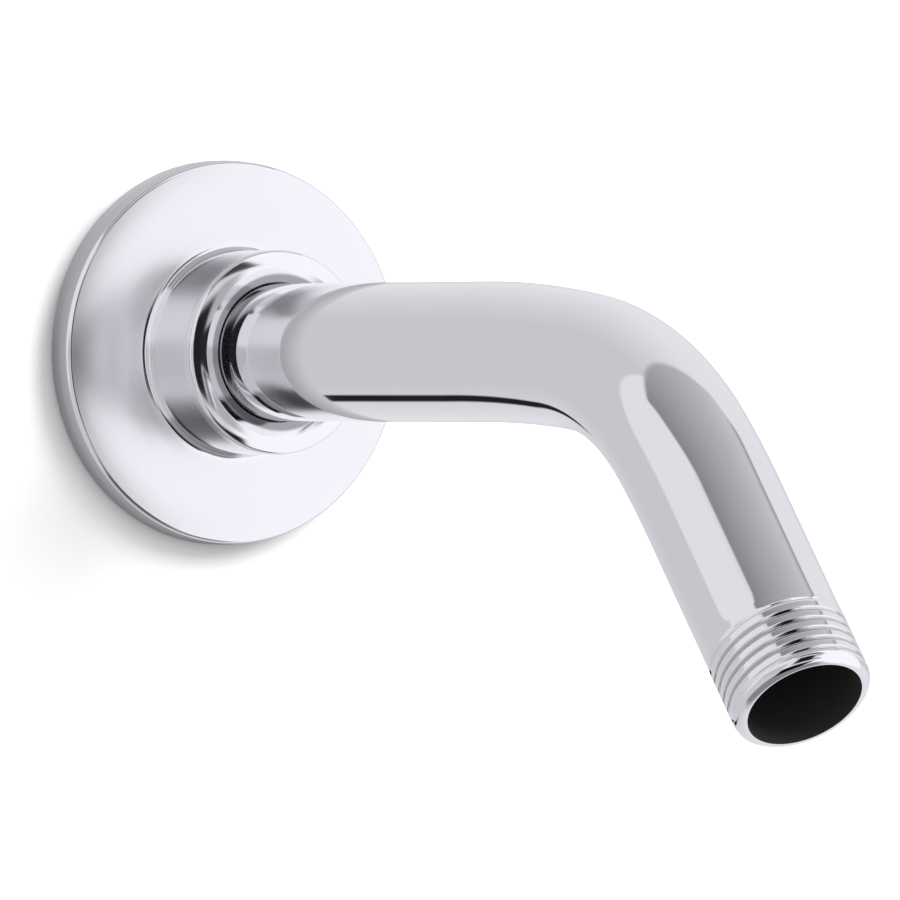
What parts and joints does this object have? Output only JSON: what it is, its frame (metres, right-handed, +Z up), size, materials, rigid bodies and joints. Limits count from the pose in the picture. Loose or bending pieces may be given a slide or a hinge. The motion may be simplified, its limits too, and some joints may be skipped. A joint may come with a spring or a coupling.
{
  "type": "shower arm",
  "caption": "Bent chromed shower arm with threaded ends and a round slip-on wall flange with a raised boss, for carrying a shower head.",
  "frame": {"origin": "where the arm's axis crosses the finished wall, at the inner end of the inlet thread and in the plane of the flange's back rim", "axes": "+X out of the wall along the arm's straight run, +Z up, so the leg bends down in the XZ plane"},
  "size_m": [0.1939, 0.058, 0.086],
  "materials": {
    "arm_chrome": "polished chrome plate on brass",
    "flange_chrome": "polished chrome plate on brass",
    "ring_rubber": "moulded black rubber"
  },
  "bodies": {
    "arm": {"shower_arm": "arm_chrome"},
    "flange": {"wall_flange": "flange_chrome", "seal_ring": "ring_rubber"}
  },
  "joints": [
    {"name": "flange_slide", "type": "slide", "parent": "arm", "child": "flange", "axis": [1, 0, 0], "range_m": [0, 0.06]}
  ]
}
